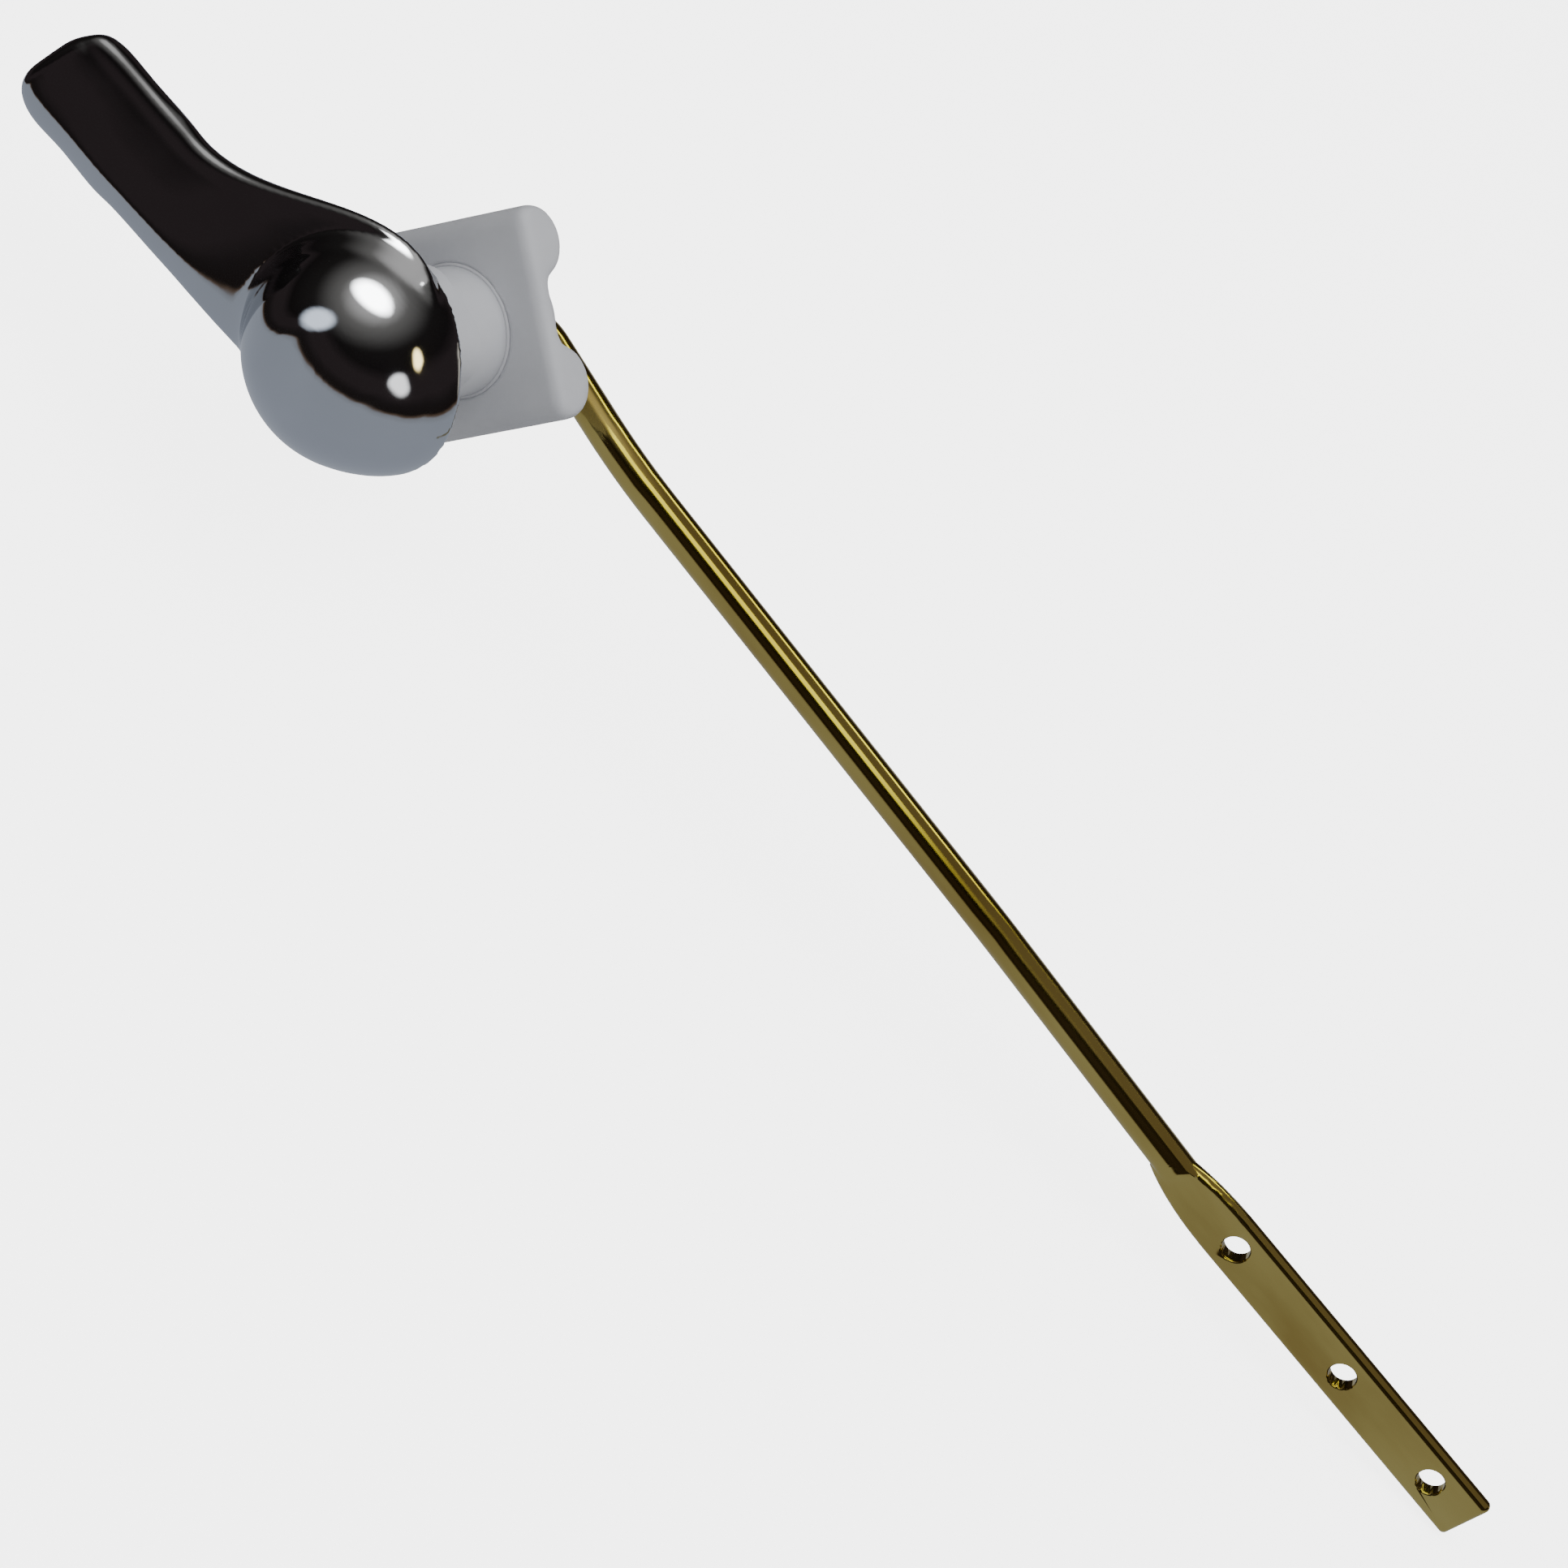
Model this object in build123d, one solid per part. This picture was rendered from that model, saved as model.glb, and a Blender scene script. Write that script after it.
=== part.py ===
from build123d import *
import math
import os

# Front-mount cistern lever, in millimetres. +Z is up, the dome faces the user at -Y, the paddle
# points to -X and the brass arm to +X. The lever turns about the Y axis. The origin is on that
# axis, in the plane of the cistern's outer wall, where the bush's flange seats.

# Hub of the handle
hub_radius = 14.7
hub_tail = 1.3
hub_tail_degrees = 60.0
hub_tail_power = 2.5
hub_wall = 2.2
rim_gap = 0.8
boss_diameter = 10.0
valley_radius = 2.5

# Paddle of the handle
paddle_reach = 49.3
paddle_root_bottom = -10.7
paddle_tip_bottom = -12.6
paddle_top = 1.65
paddle_root_front = 5.2
paddle_tip_front = 19.6
paddle_front_power = 0.75
paddle_root_back = 1.4
paddle_tip_back = 11.4
paddle_back_power = 1.3
paddle_root_edge = 3.4
paddle_tip_edge = 5.4
paddle_slant_degrees = 2.0
paddle_sweep_start = 31.2
paddle_crest_distance = 2.6
paddle_crest_rise = 0.9
paddle_crest_radius = 13.0
paddle_hub_overlap = 5.0
paddle_roundness = 4.0
paddle_end_length = 6.5
paddle_end_roundness = 2.6

# Stop inside the hub
travel_degrees = 35.0
stop_block_degrees = 40.0
stop_block_height = 2.6
stop_block_inner_radius = 8.0
stop_block_outer_radius = 11.0
stop_rib_thickness = 2.5
stop_gap_degrees = 2.0

# Bush
flange_clearance = 0.5
flange_thickness = 3.0
neck_side = 16.0
neck_corner_radius = 5.4
neck_length = 10.5
shank_diameter = 15.9
shank_chamfer = 0.8
bush_length = 28.0
running_clearance = 0.1
thrust_clearance = 0.3

# Lock nut
nut_distance = 17.2
nut_length = 27.6
nut_width = 26.4
nut_plate = 3.0
nut_depth = 7.2
nut_turn_degrees = 64.4
nut_ridge_width = 9.2
nut_edge_round = 1.35
nut_corner_round = 2.2
nut_valley_round = 1.6
nut_bore_chamfer = 0.25
thread_clearance = 0.15

# Brass arm
rod_diameter = 4.8
rod_square = 4.2
rod_square_length = 8.0
press_clearance = 0.05
elbow_radius = 4.7
elbow_clearance = 0.4
first_run = 22.9
arm_bend_radius = 27.0
arm_run = 178.7
arm_back_degrees = 24.9
arm_drop_degrees = 9.3
arm_knee_place = 75.0
arm_knee_degrees = 1.0
arm_knee_radius = 400.0

# Flattened end of the arm
flat_length = 65.0
flat_width = 8.2
flat_thickness = 2.3
flat_flare_length = 14.0
flat_shoulder_length = 4.0
flat_edge_round = 1.0
flat_corner_round = 0.7
flat_turn_degrees = 2.7
flat_offset = 0.65
chain_hole_diameter = 3.8
chain_hole_end_distance = 7.7
chain_hole_spacings = (19.0, 22.6)
chain_hole_chamfer = 0.3

# Stations along the paddle: in its rounded end, its straight part and its sweep into the hub
paddle_end_stations = (0.03, 0.12, 0.3, 0.6)
paddle_straight_stations = (0.0, 0.5)
paddle_sweep_stations = (0.0, 0.2, 0.4, 0.55, 0.7, 0.85, 1.0)

# Points that draw one section of the paddle and the hub's nose
paddle_section_points = 28
hub_tail_points = 10

tolerance = 0.001


def in_front(distance):
    """Workplane across the pivot axis at a distance in front of the wall, facing the user."""
    return Plane((0, -distance, 0), x_dir=(1, 0, 0), z_dir=(0, -1, 0))


def behind(distance):
    """Workplane across the pivot axis at a distance behind the wall's outer face, facing inwards."""
    return Plane((0, distance, 0), x_dir=(1, 0, 0), z_dir=(0, 1, 0))


def between(root, tip, share):
    return root + (tip - root) * share


def power_wave(value, roundness):
    """Sine or cosine drawn towards a square wave: a roundness of 2 leaves it as it is."""
    return math.copysign(abs(value) ** (2 / roundness), value)


def paddle_top_at(x):
    """Height of the paddle's upper edge: level, then an S-shaped sweep up to a crest beside the top
    of the hub, then down into the hub."""
    crest = hub_radius + paddle_crest_rise
    past_crest = x + paddle_crest_distance
    if past_crest > 0:
        return crest - paddle_crest_radius + math.sqrt(paddle_crest_radius**2 - past_crest**2)
    share = max(0.0, 1 + past_crest / (paddle_sweep_start - paddle_crest_distance))
    return between(paddle_top, crest, (1 - math.cos(math.pi * share)) / 2)


def paddle_fullness_at(x):
    """Share of the full section that is left at x: all of it, then a rounded end."""
    into_end = max(0.0, 1 - (x + paddle_reach) / paddle_end_length)
    return (1 - into_end**paddle_end_roundness) ** (1 / paddle_end_roundness)


def paddle_section(x):
    """Section of the paddle across its length. It is crowned in front, thinner at its upper edge,
    and stands further from the wall towards the tip."""
    out = max(0.0, -x / paddle_reach)
    front = between(paddle_root_front, paddle_tip_front, out**paddle_front_power)
    back = between(paddle_root_back, paddle_tip_back, out**paddle_back_power)
    edge = between(paddle_root_edge, paddle_tip_edge, out)
    fullness = paddle_fullness_at(x)
    bottom = between(paddle_root_bottom, paddle_tip_bottom, out)
    middle = (bottom + paddle_top_at(x)) / 2
    half = (paddle_top_at(x) - bottom) / 2
    spots = []
    for step in range(paddle_section_points):
        turn = 2 * math.pi * (step + 0.5) / paddle_section_points
        across = power_wave(math.cos(turn), paddle_roundness)
        up = power_wave(math.sin(turn), paddle_roundness)
        thickness = between(front - back, edge, (1 + up) / 2)
        centre = -back - thickness / 2
        spots.append((centre - fullness * across * thickness / 2, fullness * up * half))
    slant = math.radians(paddle_slant_degrees * out)
    plane = Plane((x, 0, middle), x_dir=(0, 1, 0), z_dir=(math.cos(slant), 0, -math.sin(slant)))
    return plane * make_face(Spline(*spots, periodic=True))


def make_paddle():
    end = [-paddle_reach + paddle_end_length * share for share in paddle_end_stations]
    straight_start = paddle_end_length - paddle_reach
    straight = [between(straight_start, -paddle_sweep_start, share) for share in paddle_straight_stations]
    sweep_up = [between(-paddle_sweep_start, paddle_hub_overlap, share) for share in paddle_sweep_stations]
    return loft([paddle_section(x) for x in end + straight + sweep_up])


def make_dome():
    """Front half of the hub: round, with a short nose at the rim on the side away from the paddle."""
    start = math.radians(hub_tail_degrees)
    nose = []
    for step in range(hub_tail_points):
        turn = start * step / (hub_tail_points - 1)
        share = (math.cos(turn) - math.cos(start)) / (1 - math.cos(start))
        reach = hub_radius * math.cos(turn) + hub_tail * share**hub_tail_power
        nose.append((reach, hub_radius * math.sin(turn)))
    outline = Curve() + [
        Spline(*nose, tangents=((0, 1), (-math.sin(start), math.cos(start)))),
        CenterArc((0, 0), hub_radius, hub_tail_degrees, 180 - hub_tail_degrees),
        Line((-hub_radius, 0), (hub_radius + hub_tail, 0)),
    ]
    return in_front(rim_gap) * revolve(make_face(outline), Axis.X, 180)


def on_dome(edge):
    """True for an edge that lies on the outside of the dome, in front of its rim."""
    centre = Vector(0, -rim_gap, 0)
    spots = [edge.position_at(share) for share in (0.2, 0.5, 0.8)]
    in_front_of_rim = all(spot.Y < -rim_gap - tolerance for spot in spots)
    return in_front_of_rim and all(abs((spot - centre).length - hub_radius) < tolerance for spot in spots)


def make_stop_rib(angle_degrees, side):
    """Radial rib in the hub. One face lies in the pivot's plane at that angle."""
    depth = hub_radius - flange_thickness
    rib = Box(hub_radius, stop_rib_thickness, depth, align=(Align.MIN, Align.CENTER, Align.MIN))
    rib = Pos(0, side * stop_rib_thickness / 2, 0) * rib
    return in_front(flange_thickness + thrust_clearance) * (Rot(0, 0, angle_degrees) * rib)


def make_handle():
    handle = make_dome() + make_paddle()
    handle = fillet(handle.edges().filter_by(on_dome), valley_radius)
    hollow = Pos(0, -rim_gap, 0) * Sphere(hub_radius - hub_wall)
    boss_face = flange_thickness + thrust_clearance
    boss = in_front(boss_face) * Cylinder(
        boss_diameter / 2, hub_radius, align=(Align.CENTER, Align.CENTER, Align.MIN)
    )
    block_end = stop_block_degrees / 2 + stop_gap_degrees
    ribs = make_stop_rib(-90 + block_end, 1) + make_stop_rib(-90 - block_end - travel_degrees, -1)
    handle = handle - (hollow - boss - ribs)
    socket_side = rod_square + 2 * press_clearance
    socket = in_front(boss_face) * Box(
        socket_side, socket_side, rod_square_length + press_clearance,
        align=(Align.CENTER, Align.CENTER, Align.MIN),
    )
    return handle - socket


def make_bush():
    inside = hub_radius - hub_wall
    flange_radius = math.sqrt(inside**2 - (flange_thickness - rim_gap) ** 2) - flange_clearance
    flange = in_front(0) * Cylinder(
        flange_radius, flange_thickness, align=(Align.CENTER, Align.CENTER, Align.MIN)
    )
    ring = Circle(stop_block_outer_radius) - Circle(stop_block_inner_radius)
    half_angle = math.radians(stop_block_degrees / 2)
    reach = 2 * stop_block_outer_radius
    wedge = make_face(
        Polyline(
            (0, 0),
            (reach * math.sin(half_angle), -reach * math.cos(half_angle)),
            (-reach * math.sin(half_angle), -reach * math.cos(half_angle)),
            close=True,
        )
    )
    stop_block = extrude(in_front(flange_thickness) * (ring & wedge), amount=stop_block_height)
    neck = extrude(behind(0) * RectangleRounded(neck_side, neck_side, neck_corner_radius), neck_length)
    shank = behind(0) * Cylinder(
        shank_diameter / 2, bush_length, align=(Align.CENTER, Align.CENTER, Align.MIN)
    )
    shank = chamfer(shank.edges().sort_by(Axis.Y)[-1], shank_chamfer)
    bore = in_front(2 * flange_thickness) * Cylinder(
        rod_diameter / 2 + running_clearance, 2 * (bush_length + 2 * flange_thickness)
    )
    return flange + stop_block + neck + shank - bore


def make_lock_nut():
    """Plate with two half-round finger ridges on its back, one profile along the whole nut."""
    ridge_radius = nut_ridge_width / 2
    profile = Rectangle(nut_width - nut_ridge_width, nut_plate, align=(Align.CENTER, Align.MIN))
    for side in (-1, 1):
        ridge = Pos(0, nut_depth - ridge_radius) * Circle(ridge_radius)
        foot = Rectangle(nut_ridge_width, nut_depth - ridge_radius, align=(Align.CENTER, Align.MIN))
        profile += Pos(side * (nut_width - nut_ridge_width) / 2, 0) * (ridge + foot)
    profile = profile & Rectangle(2 * nut_width, nut_depth, align=(Align.CENTER, Align.MIN))
    profile = fillet(profile.vertices().filter_by_position(Axis.Y, -tolerance, tolerance), nut_corner_round)
    profile = fillet(
        profile.vertices().filter_by_position(Axis.Y, nut_plate - tolerance, nut_plate + tolerance),
        nut_valley_round,
    )
    body = extrude(Plane.YZ * profile, nut_length / 2, both=True)
    ends = body.faces().filter_by(Axis.X)
    body = fillet([edge for face in ends for edge in face.edges()], nut_edge_round)
    body -= Cylinder(shank_diameter / 2 + thread_clearance, 4 * nut_depth)
    mouth = body.faces().sort_by(Axis.Z)[0].edges().filter_by(GeomType.CIRCLE).sort_by(SortBy.RADIUS)[-1]
    body = chamfer(mouth, nut_bore_chamfer)
    return behind(nut_distance) * (Rot(0, 0, -nut_turn_degrees) * body)


def arm_frame():
    """Arm's first run as a frame: X along the arm, Z across its flat face."""
    back = math.radians(arm_back_degrees)
    drop = math.radians(arm_drop_degrees)
    along = (math.cos(drop) * math.cos(back), math.cos(drop) * math.sin(back), -math.sin(drop))
    run_distance = bush_length + elbow_clearance + elbow_radius
    return Plane((first_run, run_distance, 0), x_dir=along, z_dir=(math.sin(back), -math.cos(back), 0))


def make_flat():
    """Flattened end in its own frame: X along the arm from the shoulder, Z across the flat face."""
    radius = rod_diameter / 2
    half_thickness = flat_thickness / 2
    start = math.sqrt(radius**2 - half_thickness**2)
    half_width = flat_width / 2
    flare = Spline((0, start), (flat_flare_length, half_width), tangents=((1, 0.35), (1, 0)))
    side = Line((flat_flare_length, half_width), (flat_length, half_width))
    upper = Curve() + [flare, side]
    lower = mirror(upper, about=Plane.XZ)
    ends = [Line((flat_length, -half_width), (flat_length, half_width)), Line((0, -start), (0, start))]
    blade = extrude(make_face(Curve() + [*upper.edges(), *lower.edges(), *ends]), half_thickness, both=True)
    blade = fillet(blade.edges().filter_by(Axis.Z).sort_by(Axis.X)[-2:], flat_corner_round)
    faces = blade.faces().filter_by(Axis.Z)
    long_edges = [edge for face in faces for edge in face.edges() if edge.center().X > flat_edge_round]
    blade = fillet(long_edges, flat_edge_round)
    ramp_outline = Polyline(
        (0, -radius), (0, radius), (flat_shoulder_length, half_thickness),
        (flat_shoulder_length, -half_thickness), close=True,
    )
    ramp = extrude(Plane.XZ * make_face(ramp_outline), rod_diameter, both=True)
    stub = Rot(0, 90, 0) * Cylinder(
        radius, flat_shoulder_length, align=(Align.CENTER, Align.CENTER, Align.MIN)
    )
    hole_place = flat_length - chain_hole_end_distance
    for spacing in (0.0, *chain_hole_spacings):
        hole_place -= spacing
        hole = Pos(hole_place, 0, 0) * Cylinder(chain_hole_diameter / 2, rod_diameter)
        blade = blade - hole
    hole_edges = blade.edges().filter_by(GeomType.CIRCLE).filter_by(
        lambda edge: abs(edge.radius - chain_hole_diameter / 2) < tolerance
    )
    blade = chamfer(hole_edges, chain_hole_chamfer)
    return Pos(0, -flat_offset, 0) * Rot(0, 0, flat_turn_degrees) * blade + (stub & ramp)


def make_lever_arm():
    boss_face = flange_thickness + thrust_clearance
    first = arm_frame()
    second = first * Pos(arm_knee_place, 0, 0) * Rot(0, 0, -arm_knee_degrees)
    third = second * Pos(arm_run - flat_length - arm_knee_place, 0, 0)
    path = FilletPolyline(
        (0, -boss_face, 0), (0, first.origin.Y, 0), first.origin, second.position, third.position,
        radius=[elbow_radius, arm_bend_radius, arm_knee_radius],
    )
    rod = sweep(in_front(boss_face) * Circle(rod_diameter / 2), path=path)
    squared = Box(rod_square, rod_square, rod_square_length, align=(Align.CENTER, Align.CENTER, Align.MIN))
    round_end = Cylinder(rod_diameter / 2, rod_square_length, align=(Align.CENTER, Align.CENTER, Align.MIN))
    rod += in_front(boss_face) * (squared & round_end)
    return rod + third * make_flat()


def main():
    os.makedirs("parts", exist_ok=True)
    pieces = {
        "handle": make_handle(),
        "lever_arm": make_lever_arm(),
        "bush": make_bush(),
        "lock_nut": make_lock_nut(),
    }
    for name, piece in pieces.items():
        export_step(piece, f"parts/{name}.step")


main()
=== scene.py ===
# %% [markdown]
# # A cistern lever
# This lesson dresses the four solids of a cistern lever: a chrome finger handle, a bent brass arm,
# a white plastic bush and its lock nut. The solids come in as a frame in metres. +Z is up, the
# handle's dome faces -Y, the paddle points to -X and the arm to +X. Every piece made here rides on
# one of the two bodies, so that the lever can still turn in its bush.

# %% Load the frame
import math

import bpy
from mathutils import Matrix, Vector


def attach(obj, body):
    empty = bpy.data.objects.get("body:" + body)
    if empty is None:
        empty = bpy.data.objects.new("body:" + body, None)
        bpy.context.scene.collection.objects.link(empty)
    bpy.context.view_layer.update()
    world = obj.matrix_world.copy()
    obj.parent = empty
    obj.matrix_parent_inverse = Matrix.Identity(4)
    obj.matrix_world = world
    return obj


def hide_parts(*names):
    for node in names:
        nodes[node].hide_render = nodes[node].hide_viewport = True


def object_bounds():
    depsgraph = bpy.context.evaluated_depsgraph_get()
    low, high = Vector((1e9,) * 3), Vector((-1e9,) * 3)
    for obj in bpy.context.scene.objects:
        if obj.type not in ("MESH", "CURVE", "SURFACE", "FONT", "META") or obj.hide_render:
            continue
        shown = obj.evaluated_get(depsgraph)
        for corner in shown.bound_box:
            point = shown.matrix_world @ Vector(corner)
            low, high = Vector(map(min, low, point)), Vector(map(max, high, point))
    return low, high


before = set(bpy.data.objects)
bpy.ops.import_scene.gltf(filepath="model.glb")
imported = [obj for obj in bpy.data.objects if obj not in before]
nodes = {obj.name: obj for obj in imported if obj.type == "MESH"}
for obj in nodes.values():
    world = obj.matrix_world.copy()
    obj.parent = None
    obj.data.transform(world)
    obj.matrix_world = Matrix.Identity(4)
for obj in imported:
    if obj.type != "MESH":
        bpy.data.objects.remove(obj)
cad_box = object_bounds()

# %% [markdown]
# ## Smooth skins
# A solid arrives as loose triangles, which would show as facets in polished metal. Each skin is a
# copy of its solid with the corners of the triangles merged. Shading by angle then keeps the real
# edges crisp and everything else smooth. On the pieces with flat faces, a Weighted Normal modifier
# lets the large faces decide the shading, so that a flat stays flat up to its rounded edge. The
# skin stands for its solid, which stays for collision, hidden.

# %% A helper for skins
def pick_only(obj):
    bpy.ops.object.select_all(action="DESELECT")
    obj.select_set(True)
    bpy.context.view_layer.objects.active = obj


def smooth_skin(node, name, sharp_degrees, has_flats):
    pick_only(nodes[node])
    bpy.ops.object.duplicate()
    skin = bpy.context.view_layer.objects.active
    skin.name = name
    for key in list(skin.keys()):
        del skin[key]
    skin.parent = None
    skin.matrix_world = Matrix.Identity(4)
    bpy.ops.object.mode_set(mode="EDIT")
    bpy.ops.mesh.select_all(action="SELECT")
    bpy.ops.mesh.remove_doubles(threshold=2e-6)
    bpy.ops.object.mode_set(mode="OBJECT")
    bpy.ops.object.shade_smooth_by_angle(angle=math.radians(sharp_degrees))
    if has_flats:
        even = skin.modifiers.new("even_shading", "WEIGHTED_NORMAL")
        even.keep_sharp = True
        bpy.ops.object.modifier_apply(modifier=even.name)
    print(name, len(skin.data.vertices), "corners,", len(skin.data.polygons), "faces")
    return skin


# %% The four skins
handle = smooth_skin("handle", "chrome_handle", sharp_degrees=32, has_flats=False)
arm = smooth_skin("lever_arm", "brass_arm", sharp_degrees=50, has_flats=True)
bush = smooth_skin("bush", "white_bush", sharp_degrees=32, has_flats=True)
lock_nut = smooth_skin("lock_nut", "white_lock_nut", sharp_degrees=32, has_flats=True)

# %% [markdown]
# ## The handle's polished face
# The solid handle has the outline, but the polisher's wheel has left the paddle of the real one
# dished: its front leans back to a thin upper edge and meets the dome in a narrow groove. In chrome,
# such a lean decides what the face mirrors. It could be sculpted by hand, but then it could not be
# repeated. So the skin is remeshed into small even faces, whose points can be moved without creases,
# and a Smooth modifier takes out the steps of the remesh on the outside alone. Each point of the
# paddle is drawn back towards the paddle's rear face, more so the higher it lies, but never into the
# dome. Those near the upper edge are also drawn up to it, which makes it crisp, and the lower edge is
# given a wider round, which mirrors the pale table.

# %% Helpers for polishing
hub_centre = Vector((0.0, -0.0008, 0.0))
hub_radius = 0.0147
wall_inside, wall_outside = -0.0011, -0.0005
rim_ends, rim_clear = 0.0012, 0.0024


def rise(value, low, high):
    """Soft step from 0 at low to 1 at high."""
    share = min(max((value - low) / (high - low), 0.0), 1.0)
    return share * share * (3 - 2 * share)


def off_dome(spot):
    """How far a spot stands out from the hub's dome."""
    return (spot - hub_centre).length - hub_radius


def outside(spot):
    """1 on the handle's outer face, 0 inside the hub and at its rim."""
    return rise(off_dome(spot), wall_inside, wall_outside) * rise(-spot.y, rim_ends, rim_clear)


def remesh_evenly(piece, size):
    pick_only(piece)
    even = piece.modifiers.new("even_faces", "REMESH")
    even.mode = "VOXEL"
    even.voxel_size = size
    bpy.ops.object.modifier_apply(modifier=even.name)


def polish(piece, title, weight_at, rounds):
    pick_only(piece)
    group = piece.vertex_groups.new(name=title)
    for point in piece.data.vertices:
        group.add([point.index], weight_at(point.co), "REPLACE")
    wheel = piece.modifiers.new(title, "SMOOTH")
    wheel.factor = 0.5
    wheel.iterations = rounds
    wheel.vertex_group = title
    bpy.ops.object.modifier_apply(modifier=wheel.name)
    piece.vertex_groups.clear()


# %% The dished paddle
paddle_reach = 0.0493
edge_lean = 0.38
edge_crisp = 0.55
edge_round = 0.0026
lower_lean = 0.09
lower_round = 0.0036
groove_width = 0.0016
dish_at_hub, dish_more_at_tip = 1.1, 1.4
paddle_starts, paddle_clear = 0.012, 0.022
sweep_from, sweep_length = -0.0312, 0.0286
top_at_tip, top_gain = 0.00165, 0.01395
bottom_at_hub, bottom_drop = -0.0107, 0.0019
back_at_hub, back_drop, back_bend = -0.0014, 0.0100, 1.3
handle_grain = 0.00030


def paddle_lines(x):
    """Heights of the paddle's upper and lower edge, and the depth of its rear face, at a place x."""
    out = max(0.0, -x / paddle_reach)
    sweep = min(max((x - sweep_from) / sweep_length, 0.0), 1.0)
    top = top_at_tip + top_gain * (1 - math.cos(math.pi * sweep)) / 2
    bottom = bottom_at_hub - bottom_drop * out
    back = back_at_hub - back_drop * out**back_bend
    return top, bottom, back


remesh_evenly(handle, handle_grain)
polish(handle, "outside", outside, rounds=4)
deepest = 0.0
for point in handle.data.vertices:
    spot = point.co.copy()
    if spot.x < 0 and off_dome(spot) > 0:
        top, bottom, back = paddle_lines(spot.x)
        up = min(max((spot.z - bottom) / (top - bottom), 0.0), 1.0)
        dish = up ** (dish_at_hub - dish_more_at_tip * spot.x / paddle_reach)
        step = (back - spot.y) * edge_lean * dish * rise(off_dome(spot), 0.0, groove_width)
        spot.y += step
        drop = max(top - spot.z, 0.0)
        on_paddle = rise(-spot.x, paddle_starts, paddle_clear)
        spot.z += drop * edge_crisp * (1 - rise(drop, 0.0, edge_round)) * on_paddle
        near_bottom = 1 - rise(spot.z - bottom, 0.0, lower_round)
        spot.y += (back - spot.y) * lower_lean * near_bottom * on_paddle
        if off_dome(spot) < 0:
            spot = hub_centre + hub_radius * (spot - hub_centre).normalized()
        point.co = spot
        deepest = max(deepest, step)
print("paddle dished by up to", round(deepest * 1000, 2), "mm")

# %% The polished handle
remesh_evenly(handle, handle_grain)
polish(handle, "outside", outside, rounds=5)
bpy.ops.object.shade_smooth_by_angle(angle=math.radians(50))
print(handle.name, len(handle.data.polygons), "even faces")

# %% [markdown]
# ## The nut's soft edges
# The lock nut is moulded with generous rounds, so that fingers can turn it. Its plate flows into
# the two ridges. The same even faces and a longer Smooth give that flow. The bore keeps its edge.

# %% A softer nut
bore_edge, bore_clear = 0.0086, 0.0105
nut_grain = 0.00040


def off_bore(spot):
    return rise(math.hypot(spot.x, spot.z), bore_edge, bore_clear)


remesh_evenly(lock_nut, nut_grain)
polish(lock_nut, "off_bore", off_bore, rounds=14)
bpy.ops.object.shade_smooth_by_angle(angle=math.radians(50))
print(lock_nut.name, len(lock_nut.data.polygons), "even faces")

# %% [markdown]
# ## The thread behind the nut
# The nut runs on a coarse rounded thread, which shows on the end of the bush. A real thread is one
# ridge wound round the shank. Here a ring of six points is pressed flat into the ridge's section,
# and a Screw modifier winds it about the pivot. The ridge's foot is sunk into the shank. A flat
# bead closes the nut's mouth, where the engaged thread does so on the real one.

# %% Thread ridge
shank_radius = 0.00795
ridge_height = 0.0004
ridge_foot = 0.0007
thread_pitch = 0.0018
thread_turns = 2
thread_start = 0.0229

bpy.ops.object.select_all(action="DESELECT")
bpy.ops.mesh.primitive_circle_add(vertices=6, radius=ridge_foot, location=(0, 0, 0))
thread = bpy.context.view_layer.objects.active
thread.name = "shank_thread"
bpy.ops.object.mode_set(mode="EDIT")
bpy.ops.mesh.select_all(action="SELECT")
bpy.ops.transform.resize(value=(ridge_height / ridge_foot, 1, 1))
bpy.ops.transform.translate(value=(shank_radius, thread_start, 0))
bpy.ops.object.mode_set(mode="OBJECT")
winding = thread.modifiers.new("winding", "SCREW")
winding.axis = "Y"
winding.angle = 2 * math.pi
winding.screw_offset = thread_pitch
winding.iterations = thread_turns
winding.steps = winding.render_steps = 64
winding.use_merge_vertices = True
bpy.ops.object.modifier_apply(modifier=winding.name)
bpy.ops.object.mode_set(mode="EDIT")
bpy.ops.mesh.select_all(action="DESELECT")
bpy.ops.mesh.select_non_manifold()
bpy.ops.mesh.fill()
bpy.ops.mesh.select_all(action="SELECT")
bpy.ops.mesh.normals_make_consistent(inside=False)
bpy.ops.object.mode_set(mode="OBJECT")

# %% The bead at the nut's mouth
bead_radius = 0.00805
bead_place = 0.01745
bead_height = 0.0003
bead_stretch = 1.5

bpy.ops.object.select_all(action="DESELECT")
bpy.ops.mesh.primitive_torus_add(
    major_radius=bead_radius, minor_radius=bead_height, major_segments=96, minor_segments=12,
    rotation=(math.pi / 2, 0, 0), location=(0, bead_place, 0),
)
bead = bpy.context.view_layer.objects.active
bpy.ops.object.transform_apply(location=True, rotation=True, scale=True)
bpy.ops.object.mode_set(mode="EDIT")
bpy.ops.mesh.select_all(action="SELECT")
bpy.ops.transform.resize(value=(1, bead_stretch, 1), center_override=(0, bead_place, 0))
bpy.ops.object.mode_set(mode="OBJECT")
thread.select_set(True)
bpy.context.view_layer.objects.active = thread
bpy.ops.object.join()
bpy.ops.object.shade_smooth_by_angle(angle=math.radians(70))
thread_end = max(point.co.y for point in thread.data.vertices)
print("thread", len(thread.data.polygons), "faces, ends at", round(thread_end, 4))

# %% [markdown]
# ## Materials
# All colours come from nodes on Object coordinates, so they stay with the pieces when they move.
# Small helpers start a material, lay a noise in a turned and drawn-out frame, and spread its values
# into colours, gloss or height.

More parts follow.
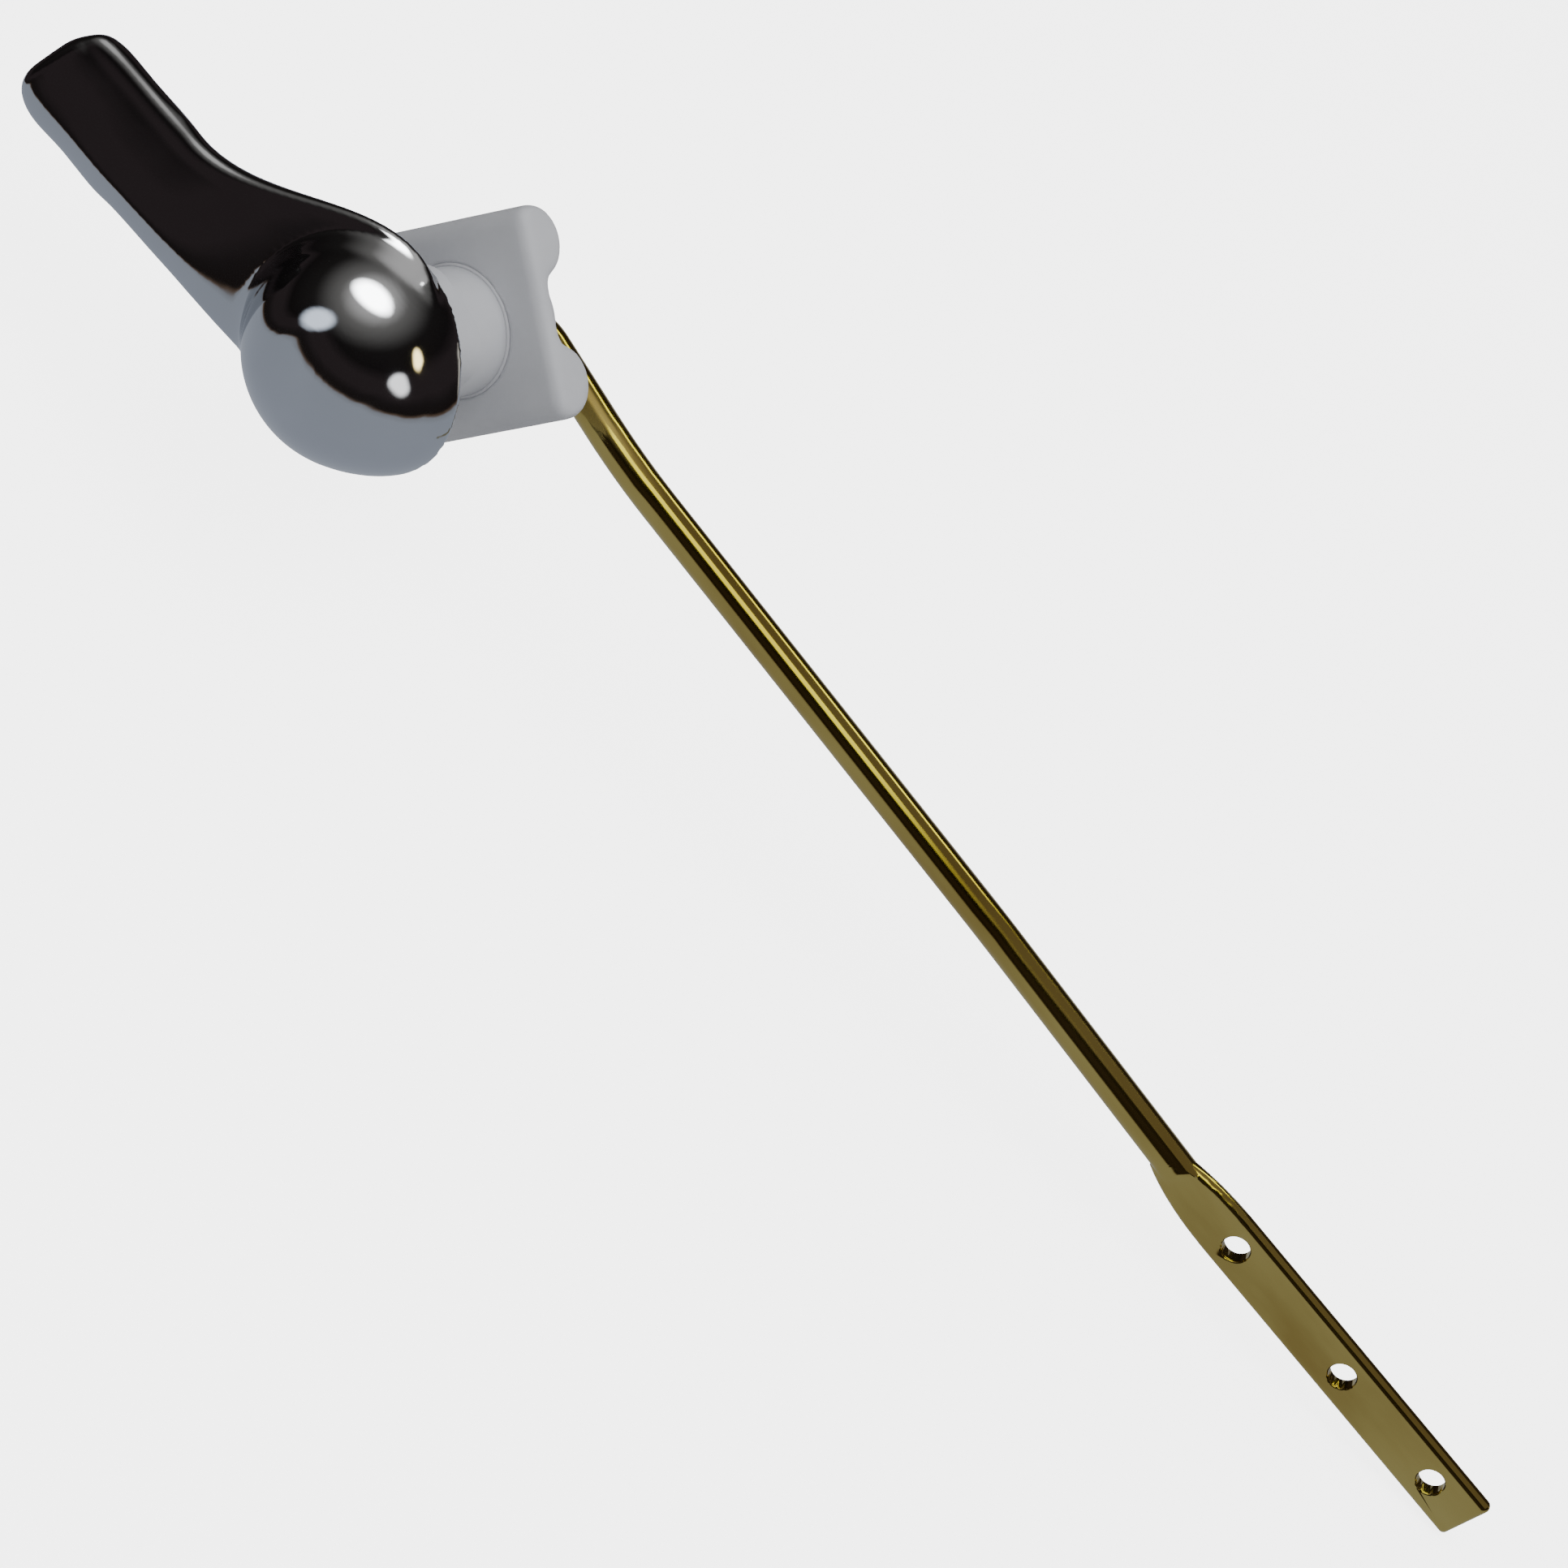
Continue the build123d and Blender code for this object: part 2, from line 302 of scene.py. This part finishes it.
# %% Helpers for materials
def start_material(name):
    material = bpy.data.materials.new(name)
    material.use_nodes = True
    tree = material.node_tree
    shader = tree.nodes["Principled BSDF"]
    place = tree.nodes.new("ShaderNodeTexCoord")
    return material, tree, shader, place.outputs["Object"]


def noise_on(tree, spot, scale, detail=3.0, turn=(0, 0, 0), stretch=(1, 1, 1)):
    mapping = tree.nodes.new("ShaderNodeMapping")
    mapping.vector_type = "TEXTURE"
    mapping.inputs["Rotation"].default_value = turn
    mapping.inputs["Scale"].default_value = stretch
    noise = tree.nodes.new("ShaderNodeTexNoise")
    noise.inputs["Scale"].default_value = scale
    noise.inputs["Detail"].default_value = detail
    tree.links.new(spot, mapping.inputs["Vector"])
    tree.links.new(mapping.outputs["Vector"], noise.inputs["Vector"])
    return noise.outputs["Fac"]


def ramp_on(tree, value, stops):
    ramp = tree.nodes.new("ShaderNodeValToRGB")
    while len(ramp.color_ramp.elements) < len(stops):
        ramp.color_ramp.elements.new(0.5)
    for element, (place, colour) in zip(ramp.color_ramp.elements, stops):
        element.position = place
        element.color = (*colour, 1.0)
    tree.links.new(value, ramp.inputs["Fac"])
    return ramp.outputs["Color"]


def range_on(tree, value, low, high):
    """Spreads a noise, most of which lies between 0.3 and 0.7, over low to high."""
    spread = tree.nodes.new("ShaderNodeMapRange")
    spread.inputs["From Min"].default_value = 0.3
    spread.inputs["From Max"].default_value = 0.7
    spread.inputs["To Min"].default_value = low
    spread.inputs["To Max"].default_value = high
    tree.links.new(value, spread.inputs["Value"])
    return spread.outputs["Result"]


def bump_on(tree, shader, value, distance):
    bump = tree.nodes.new("ShaderNodeBump")
    bump.inputs["Distance"].default_value = distance
    tree.links.new(value, bump.inputs["Height"])
    tree.links.new(bump.outputs["Normal"], shader.inputs["Normal"])


# %% [markdown]
# ## Chrome
# The handle is a die casting with bright chrome on it. Chrome is a grey mirror: nearly all of its
# look is what it reflects. A faint large noise lets the mirror swim a little, as polished castings
# do, and a finer one varies the gloss like old wiping marks.

# %% Chrome plating
chrome, tree, shader, spot = start_material("chrome_plating")
shader.inputs["Metallic"].default_value = 1.0
tint = noise_on(tree, spot, scale=60.0)
tree.links.new(
    ramp_on(tree, tint, [(0.3, (0.49, 0.50, 0.515)), (0.7, (0.54, 0.55, 0.565))]),
    shader.inputs["Base Color"],
)
wiping = noise_on(tree, spot, scale=240.0, detail=5.0, stretch=(3, 1, 1))
tree.links.new(range_on(tree, wiping, low=0.045, high=0.085), shader.inputs["Roughness"])
swim = noise_on(tree, spot, scale=45.0, detail=1.0)
bump_on(tree, shader, swim, distance=0.00002)
print("made", chrome.name)

# %% [markdown]
# ## Brass
# The arm is drawn brass rod, bright but a little olive, pressed flat at its end. Drawing leaves fine
# lines along it, so their noise lies in a frame that is turned to the arm's own direction and drawn
# out two hundred times along it. Slow, wide noise darkens the metal in clouds where it has tarnished.

# %% Drawn brass
arm_turn = (0.0, math.radians(9.3), math.radians(24.9))
brass, tree, shader, spot = start_material("drawn_brass")
shader.inputs["Metallic"].default_value = 1.0
clouds = noise_on(tree, spot, scale=110.0, detail=4.0, turn=arm_turn, stretch=(4, 1, 1))
tree.links.new(
    ramp_on(tree, clouds, [
        (0.3, (0.40, 0.285, 0.075)), (0.5, (0.51, 0.395, 0.115)), (0.72, (0.57, 0.46, 0.15)),
    ]),
    shader.inputs["Base Color"],
)
lines = noise_on(tree, spot, scale=2400.0, detail=3.0, turn=arm_turn, stretch=(200, 1, 1))
tree.links.new(range_on(tree, lines, low=0.10, high=0.17), shader.inputs["Roughness"])
bump_on(tree, shader, lines, distance=0.0000005)
print("made", brass.name)

# %% [markdown]
# ## White plastic
# The bush and the nut are moulded in white plastic with a soft sheen. Light enters the plastic a
# little, which softens its shadows. A very fine noise gives the skin of the mould.

# %% Moulded plastic
plastic, tree, shader, spot = start_material("moulded_plastic")
flow = noise_on(tree, spot, scale=90.0, detail=4.0)
tree.links.new(
    ramp_on(tree, flow, [(0.3, (0.54, 0.55, 0.585)), (0.7, (0.60, 0.61, 0.64))]),
    shader.inputs["Base Color"],
)
shader.inputs["Subsurface Weight"].default_value = 0.15
shader.inputs["Subsurface Radius"].default_value = (0.002, 0.002, 0.002)
shader.inputs["Subsurface Scale"].default_value = 1.0
sheen = noise_on(tree, spot, scale=500.0)
tree.links.new(range_on(tree, sheen, low=0.42, high=0.54), shader.inputs["Roughness"])
mould_skin = noise_on(tree, spot, scale=2600.0)
bump_on(tree, shader, mould_skin, distance=0.000005)
print("made", plastic.name)

# %% [markdown]
# ## Dressing the pieces
# Each piece gets its material and the body that it rides on, and the solid that it stands for is
# hidden. The handle and the arm turn with the lever, the rest stays with the bush.
# The solids get the same materials, in case one is shown.

# %% Dress the pieces
def dress(piece, material, slot, body, *replaced):
    piece.data.materials.clear()
    piece.data.materials.append(material)
    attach(piece, body)
    if replaced:
        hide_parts(*replaced)
    print(piece.name, "rides on", body)


dress(handle, chrome, "chrome", "lever", "handle")
dress(arm, brass, "brass", "lever", "lever_arm")
dress(bush, plastic, "plastic", "bush", "bush")
dress(lock_nut, plastic, "plastic", "bush", "lock_nut")
dress(thread, plastic, "plastic", "bush")
solid_finishes = {"handle": chrome, "lever_arm": brass, "bush": plastic, "lock_nut": plastic}
for node, material in solid_finishes.items():
    nodes[node].data.materials.clear()
    nodes[node].data.materials.append(material)

# %% [markdown]
# ## Floor
# A pale floor lies under the lowest point. It glows like a light table, so that it stays nearly
# white while the lever is lit gently. Its glow is kept off the pieces and out of the mirror images,
# because the table that the chrome shows is tilted against the lever.

# %% The floor
floor_gap = 0.0005
bpy.ops.object.select_all(action="DESELECT")
bpy.ops.mesh.primitive_plane_add(size=6.0, location=(0, 0, cad_box[0].z - floor_gap))
floor = bpy.context.view_layer.objects.active
floor.name = "floor"
floor_paint, _, shader, _ = start_material("pale_floor")
shader.inputs["Base Color"].default_value = (0.9, 0.9, 0.9, 1.0)
shader.inputs["Roughness"].default_value = 0.9
shader.inputs["Emission Color"].default_value = (1.0, 1.0, 1.0, 1.0)
shader.inputs["Emission Strength"].default_value = 4.0
floor.data.materials.append(floor_paint)
floor.visible_glossy = False
floor.visible_diffuse = False
print("floor at", round(floor.location.z, 4))

# %% [markdown]
# ## What the chrome sees
# Chrome shows its surroundings, so these are planned as a product photographer does: a pale, tilted
# table below, a dark room above with a dark curtain on the left, a soft glow round a roof window and
# a faint lamp at the back. A picture of a room could do this too, but here the world's shader draws
# it from the ray's direction, for mirror rays alone. All other rays meet an even, soft white.

# %% Helpers for the surroundings
def dot_on(tree, direction, vector):
    dot = tree.nodes.new("ShaderNodeVectorMath")
    dot.operation = "DOT_PRODUCT"
    dot.inputs[1].default_value = vector
    tree.links.new(direction, dot.inputs[0])
    return dot.outputs["Value"]


def math_on(tree, operation, *values):
    step = tree.nodes.new("ShaderNodeMath")
    step.operation = operation
    for socket, value in zip(step.inputs, values):
        if isinstance(value, (int, float)):
            socket.default_value = value
        else:
            tree.links.new(value, socket)
    return step.outputs["Value"]


def fade_on(tree, value, none_at, full_at):
    fade = tree.nodes.new("ShaderNodeMapRange")
    fade.interpolation_type = "SMOOTHSTEP"
    fade.inputs["From Min"].default_value = none_at
    fade.inputs["From Max"].default_value = full_at
    tree.links.new(value, fade.inputs["Value"])
    return fade.outputs["Result"]


def patch_on(tree, direction, centre, along, half_along, half_across, edge):
    """Soft-edged patch of the surroundings about a direction, 1 inside and 0 outside."""
    centre = Vector(centre).normalized()
    across = centre.cross(Vector(along)).normalized()
    along = across.cross(centre)
    reach = 0.0
    for axis, half in ((along, half_along), (across, half_across)):
        share = math_on(tree, "ABSOLUTE", dot_on(tree, direction, axis / half))
        reach = math_on(tree, "ADD", math_on(tree, "POWER", share, 3.0), reach)
    mask = fade_on(tree, reach, (1 + edge) ** 3, (1 - edge) ** 3)
    ahead = fade_on(tree, dot_on(tree, direction, centre), none_at=0.0, full_at=0.1)
    return math_on(tree, "MULTIPLY", mask, ahead)


def shine_on(tree, total, mask, colour, strength):
    scaled = tree.nodes.new("ShaderNodeVectorMath")
    scaled.operation = "SCALE"
    scaled.inputs[0].default_value = Vector(colour) * strength
    tree.links.new(mask, scaled.inputs["Scale"])
    added = tree.nodes.new("ShaderNodeVectorMath")
    added.operation = "ADD"
    tree.links.new(total, added.inputs[0])
    tree.links.new(scaled.outputs["Vector"], added.inputs[1])
    return added.outputs["Vector"]


# %% Table and dark room
world = bpy.data.worlds.new("studio")
bpy.context.scene.world = world
world.use_nodes = True
tree = world.node_tree
tree.nodes.clear()
direction = tree.nodes.new("ShaderNodeTexCoord").outputs["Generated"]
room_up = (-0.040, 0.0, 0.940)
table_back = 0.15
table_tilt = -0.339
curtain_from, curtain_full, curtain_drop = -0.45, -0.85, 0.62
sides = tree.nodes.new("ShaderNodeSeparateXYZ")
tree.links.new(direction, sides.inputs["Vector"])
depth = math_on(tree, "MINIMUM", sides.outputs["Y"], table_back)
height = math_on(tree, "MULTIPLY_ADD", depth, table_tilt, 1.0)
curtain = fade_on(tree, sides.outputs["X"], curtain_from, curtain_full)
height = math_on(tree, "MULTIPLY_ADD", curtain, curtain_drop, height)
height = math_on(tree, "ADD", dot_on(tree, direction, room_up), height)
half_height = math_on(tree, "MULTIPLY", height, 0.5)
room = ramp_on(tree, half_height, [
    (0.0, (0.42, 0.455, 0.53)), (0.49, (0.41, 0.445, 0.51)), (0.528, (0.34, 0.36, 0.40)),
    (0.541, (0.15, 0.095, 0.06)), (0.556, (0.016, 0.012, 0.011)), (0.61, (0.020, 0.016, 0.016)),
    (0.66, (0.034, 0.026, 0.027)), (0.75, (0.034, 0.026, 0.027)), (0.82, (0.012, 0.010, 0.010)),
    (1.0, (0.020, 0.018, 0.017)),
])
print("table and room")

# %% Roof glow and back lamp
roof_side = Vector((-0.358, -0.305, 0.883)).normalized()
roof_angle = dot_on(tree, direction, roof_side)
wide_glow = fade_on(tree, roof_angle, none_at=0.60, full_at=1.0)
room = shine_on(tree, room, wide_glow, (1.0, 0.97, 0.93), strength=0.24)
near_glow = fade_on(tree, roof_angle, none_at=0.86, full_at=1.0)
room = shine_on(tree, room, near_glow, (1.0, 0.98, 0.96), strength=0.50)
back_lamp = patch_on(
    tree, direction, centre=(0.497, 0.789, 0.361), along=(-0.423, -0.143, 0.895),
    half_along=0.15, half_across=0.08, edge=0.5,
)
room = shine_on(tree, room, back_lamp, (1.0, 0.94, 0.82), strength=0.7)
print("roof glow and back lamp")

# %% Mirror rays and all other rays
soft_white = 0.45
backdrop_white = 4.5
path = tree.nodes.new("ShaderNodeLightPath")
mirror_light = tree.nodes.new("ShaderNodeBackground")
soft_light = tree.nodes.new("ShaderNodeBackground")
tree.links.new(room, mirror_light.inputs["Color"])
more_white = backdrop_white - soft_white
white_light = math_on(tree, "MULTIPLY_ADD", path.outputs["Is Camera Ray"], more_white, soft_white)
tree.links.new(white_light, soft_light.inputs["Strength"])
soft_light.inputs["Color"].default_value = (1.0, 1.0, 1.0, 1.0)
mix = tree.nodes.new("ShaderNodeMixShader")
out = tree.nodes.new("ShaderNodeOutputWorld")
tree.links.new(path.outputs["Is Glossy Ray"], mix.inputs["Fac"])
tree.links.new(soft_light.outputs["Background"], mix.inputs[1])
tree.links.new(mirror_light.outputs["Background"], mix.inputs[2])
tree.links.new(mix.outputs["Shader"], out.inputs["Surface"])
print("made the surroundings")

# %% [markdown]
# ## Lamps
# One large lamp lights the plastic and the floor softly and stays out of the mirror images. Three
# windows and a warm lamp light the handle alone and glint on its dome, with edges that fade out. Two
# of them stand close to the dome, so that the paddle does not mirror them too. Three long strip lamps
# run along the round of the brass arm and light nothing else. Two of them draw a bright line along
# it, and the widest keeps its far side brown.

# %% Helpers for lamps
lamp_middle = (0.5, 0.5, 0.0)


def only(piece):
    """A collection that lets a lamp light this piece alone."""
    receivers = bpy.data.collections.new("only_" + piece.name)
    receivers.objects.link(piece)
    return receivers


def soften(lamp):
    """Lets a lamp's face fade out towards its edges."""
    lamp.data.use_nodes = True
    tree = lamp.data.node_tree
    face = tree.nodes.new("ShaderNodeNewGeometry")
    away = tree.nodes.new("ShaderNodeVectorMath")
    away.operation = "DISTANCE"
    away.inputs[1].default_value = lamp_middle
    tree.links.new(face.outputs["Parametric"], away.inputs[0])
    strength = fade_on(tree, away.outputs["Value"], none_at=0.5, full_at=0.22)
    tree.links.new(strength, tree.nodes["Emission"].inputs["Strength"])


def add_lamp(name, target, towards, distance, along, size, watts, colour):
    """Stands a lamp off a target, in the direction towards, with its long side along."""
    back = Vector(towards).normalized()
    side = back.cross(Vector(along)).normalized()
    turn = Matrix((side.cross(back), side, back)).transposed()
    bpy.ops.object.select_all(action="DESELECT")
    bpy.ops.object.light_add(type="AREA")
    lamp = bpy.context.view_layer.objects.active
    lamp.name = name
    lamp.matrix_world = Matrix.Translation(target + distance * back) @ turn.to_4x4()
    lamp.data.shape = "RECTANGLE"
    lamp.data.size, lamp.data.size_y = size
    lamp.data.energy = watts
    lamp.data.color = colour
    lamp.visible_camera = False
    print("lamp", name)
    return lamp


# %% The soft box
white = (1.0, 1.0, 1.0)
warm = (1.0, 0.80, 0.36)
cool = (0.80, 0.88, 1.0)
lemon = (0.93, 1.0, 0.22)
cream = (1.0, 0.90, 0.80)
soft_box = add_lamp(
    "soft_box", Vector(), (0.15, -0.2, 0.97), distance=1.2, along=(1, 0, 0), size=(1.2, 1.2),
    watts=12.0, colour=white,
)
soft_box.visible_glossy = False

# %% Windows and a warm lamp for the dome
close, far = 0.015, 1.0
glints = (
    ("roof_window", (-0.0014, -0.0097, 0.0116), (-0.358, -0.305, 0.883), close,
     (0.923, 0.031, 0.385), (0.0208, 0.0119), 0.014, white),
    ("warm_lamp", hub_centre, (0.674, -0.025, 0.738), far,
     (-0.738, -0.068, 0.672), (0.40, 0.22), 1.9, warm),
    ("side_window", (-0.0025, -0.0139, 0.0062), (-0.510, -0.836, 0.200), close,
     (0.528, -0.088, 0.845), (0.0170, 0.0100), 0.0011, cool),
    ("front_window", hub_centre, (0.838, -0.321, 0.442), far,
     (0.377, 0.925, -0.044), (0.40, 0.38), 1.2, white),
)
chrome_only = only(handle)
for name, target, towards, distance, along, size, watts, colour in glints:
    lamp = add_lamp(name, Vector(target), towards, distance, along, size, watts, colour)
    lamp.light_linking.receiver_collection = chrome_only
    soften(lamp)

# %% Strips for the arm
arm_along = Vector((0.895, 0.415, -0.162))
rod_middle = Vector((0.095, 0.066, -0.014))
strip_shift = 0.231
strip_middle = rod_middle - strip_shift * arm_along
strips = (
    ("front_strip", strip_middle, (0.50, -0.33, 0.80), 0.5, (0.5, 0.20), 0.75, lemon),
    ("back_strip", strip_middle, (0.075, 0.66, 0.745), 0.5, (0.5, 0.08), 0.5, lemon),
    ("wide_strip", rod_middle, (0.30, 0.15, 0.94), 0.6, (0.7, 0.95), 0.36, cream),
)
brass_only = only(arm)
for name, target, towards, distance, size, watts, colour in strips:
    lamp = add_lamp(name, target, towards, distance, arm_along, size, watts, colour)
    lamp.light_linking.receiver_collection = brass_only

# %% [markdown]
# ## Camera
# The camera looks down on the lever from in front, rolled over so that the arm runs from the upper
# left to the lower right, as in the picture. The three directions below are the camera's own axes.

# %% The camera
camera_right = Vector((0.526448, 0.561175, 0.638698))
camera_up = Vector((-0.830579, 0.178968, 0.527360))
camera_back = camera_right.cross(camera_up)
lever_middle = Vector((0.0696, 0.0236, 0.0))
shift_right, shift_up = -0.000168, 0.001591
aim = lever_middle + shift_right * camera_right + shift_up * camera_up
camera_distance = 0.8
bpy.ops.object.camera_add()
camera = bpy.context.view_layer.objects.active
turn = Matrix((camera_right, camera_up, camera_back)).transposed()
camera.matrix_world = Matrix.Translation(aim + camera_distance * camera_back) @ turn.to_4x4()
camera.data.lens = 152.53
camera.data.sensor_width = 36.0
camera.data.clip_end = 50.0
bpy.context.scene.camera = camera
print("camera at", [round(c, 3) for c in camera.matrix_world.translation])
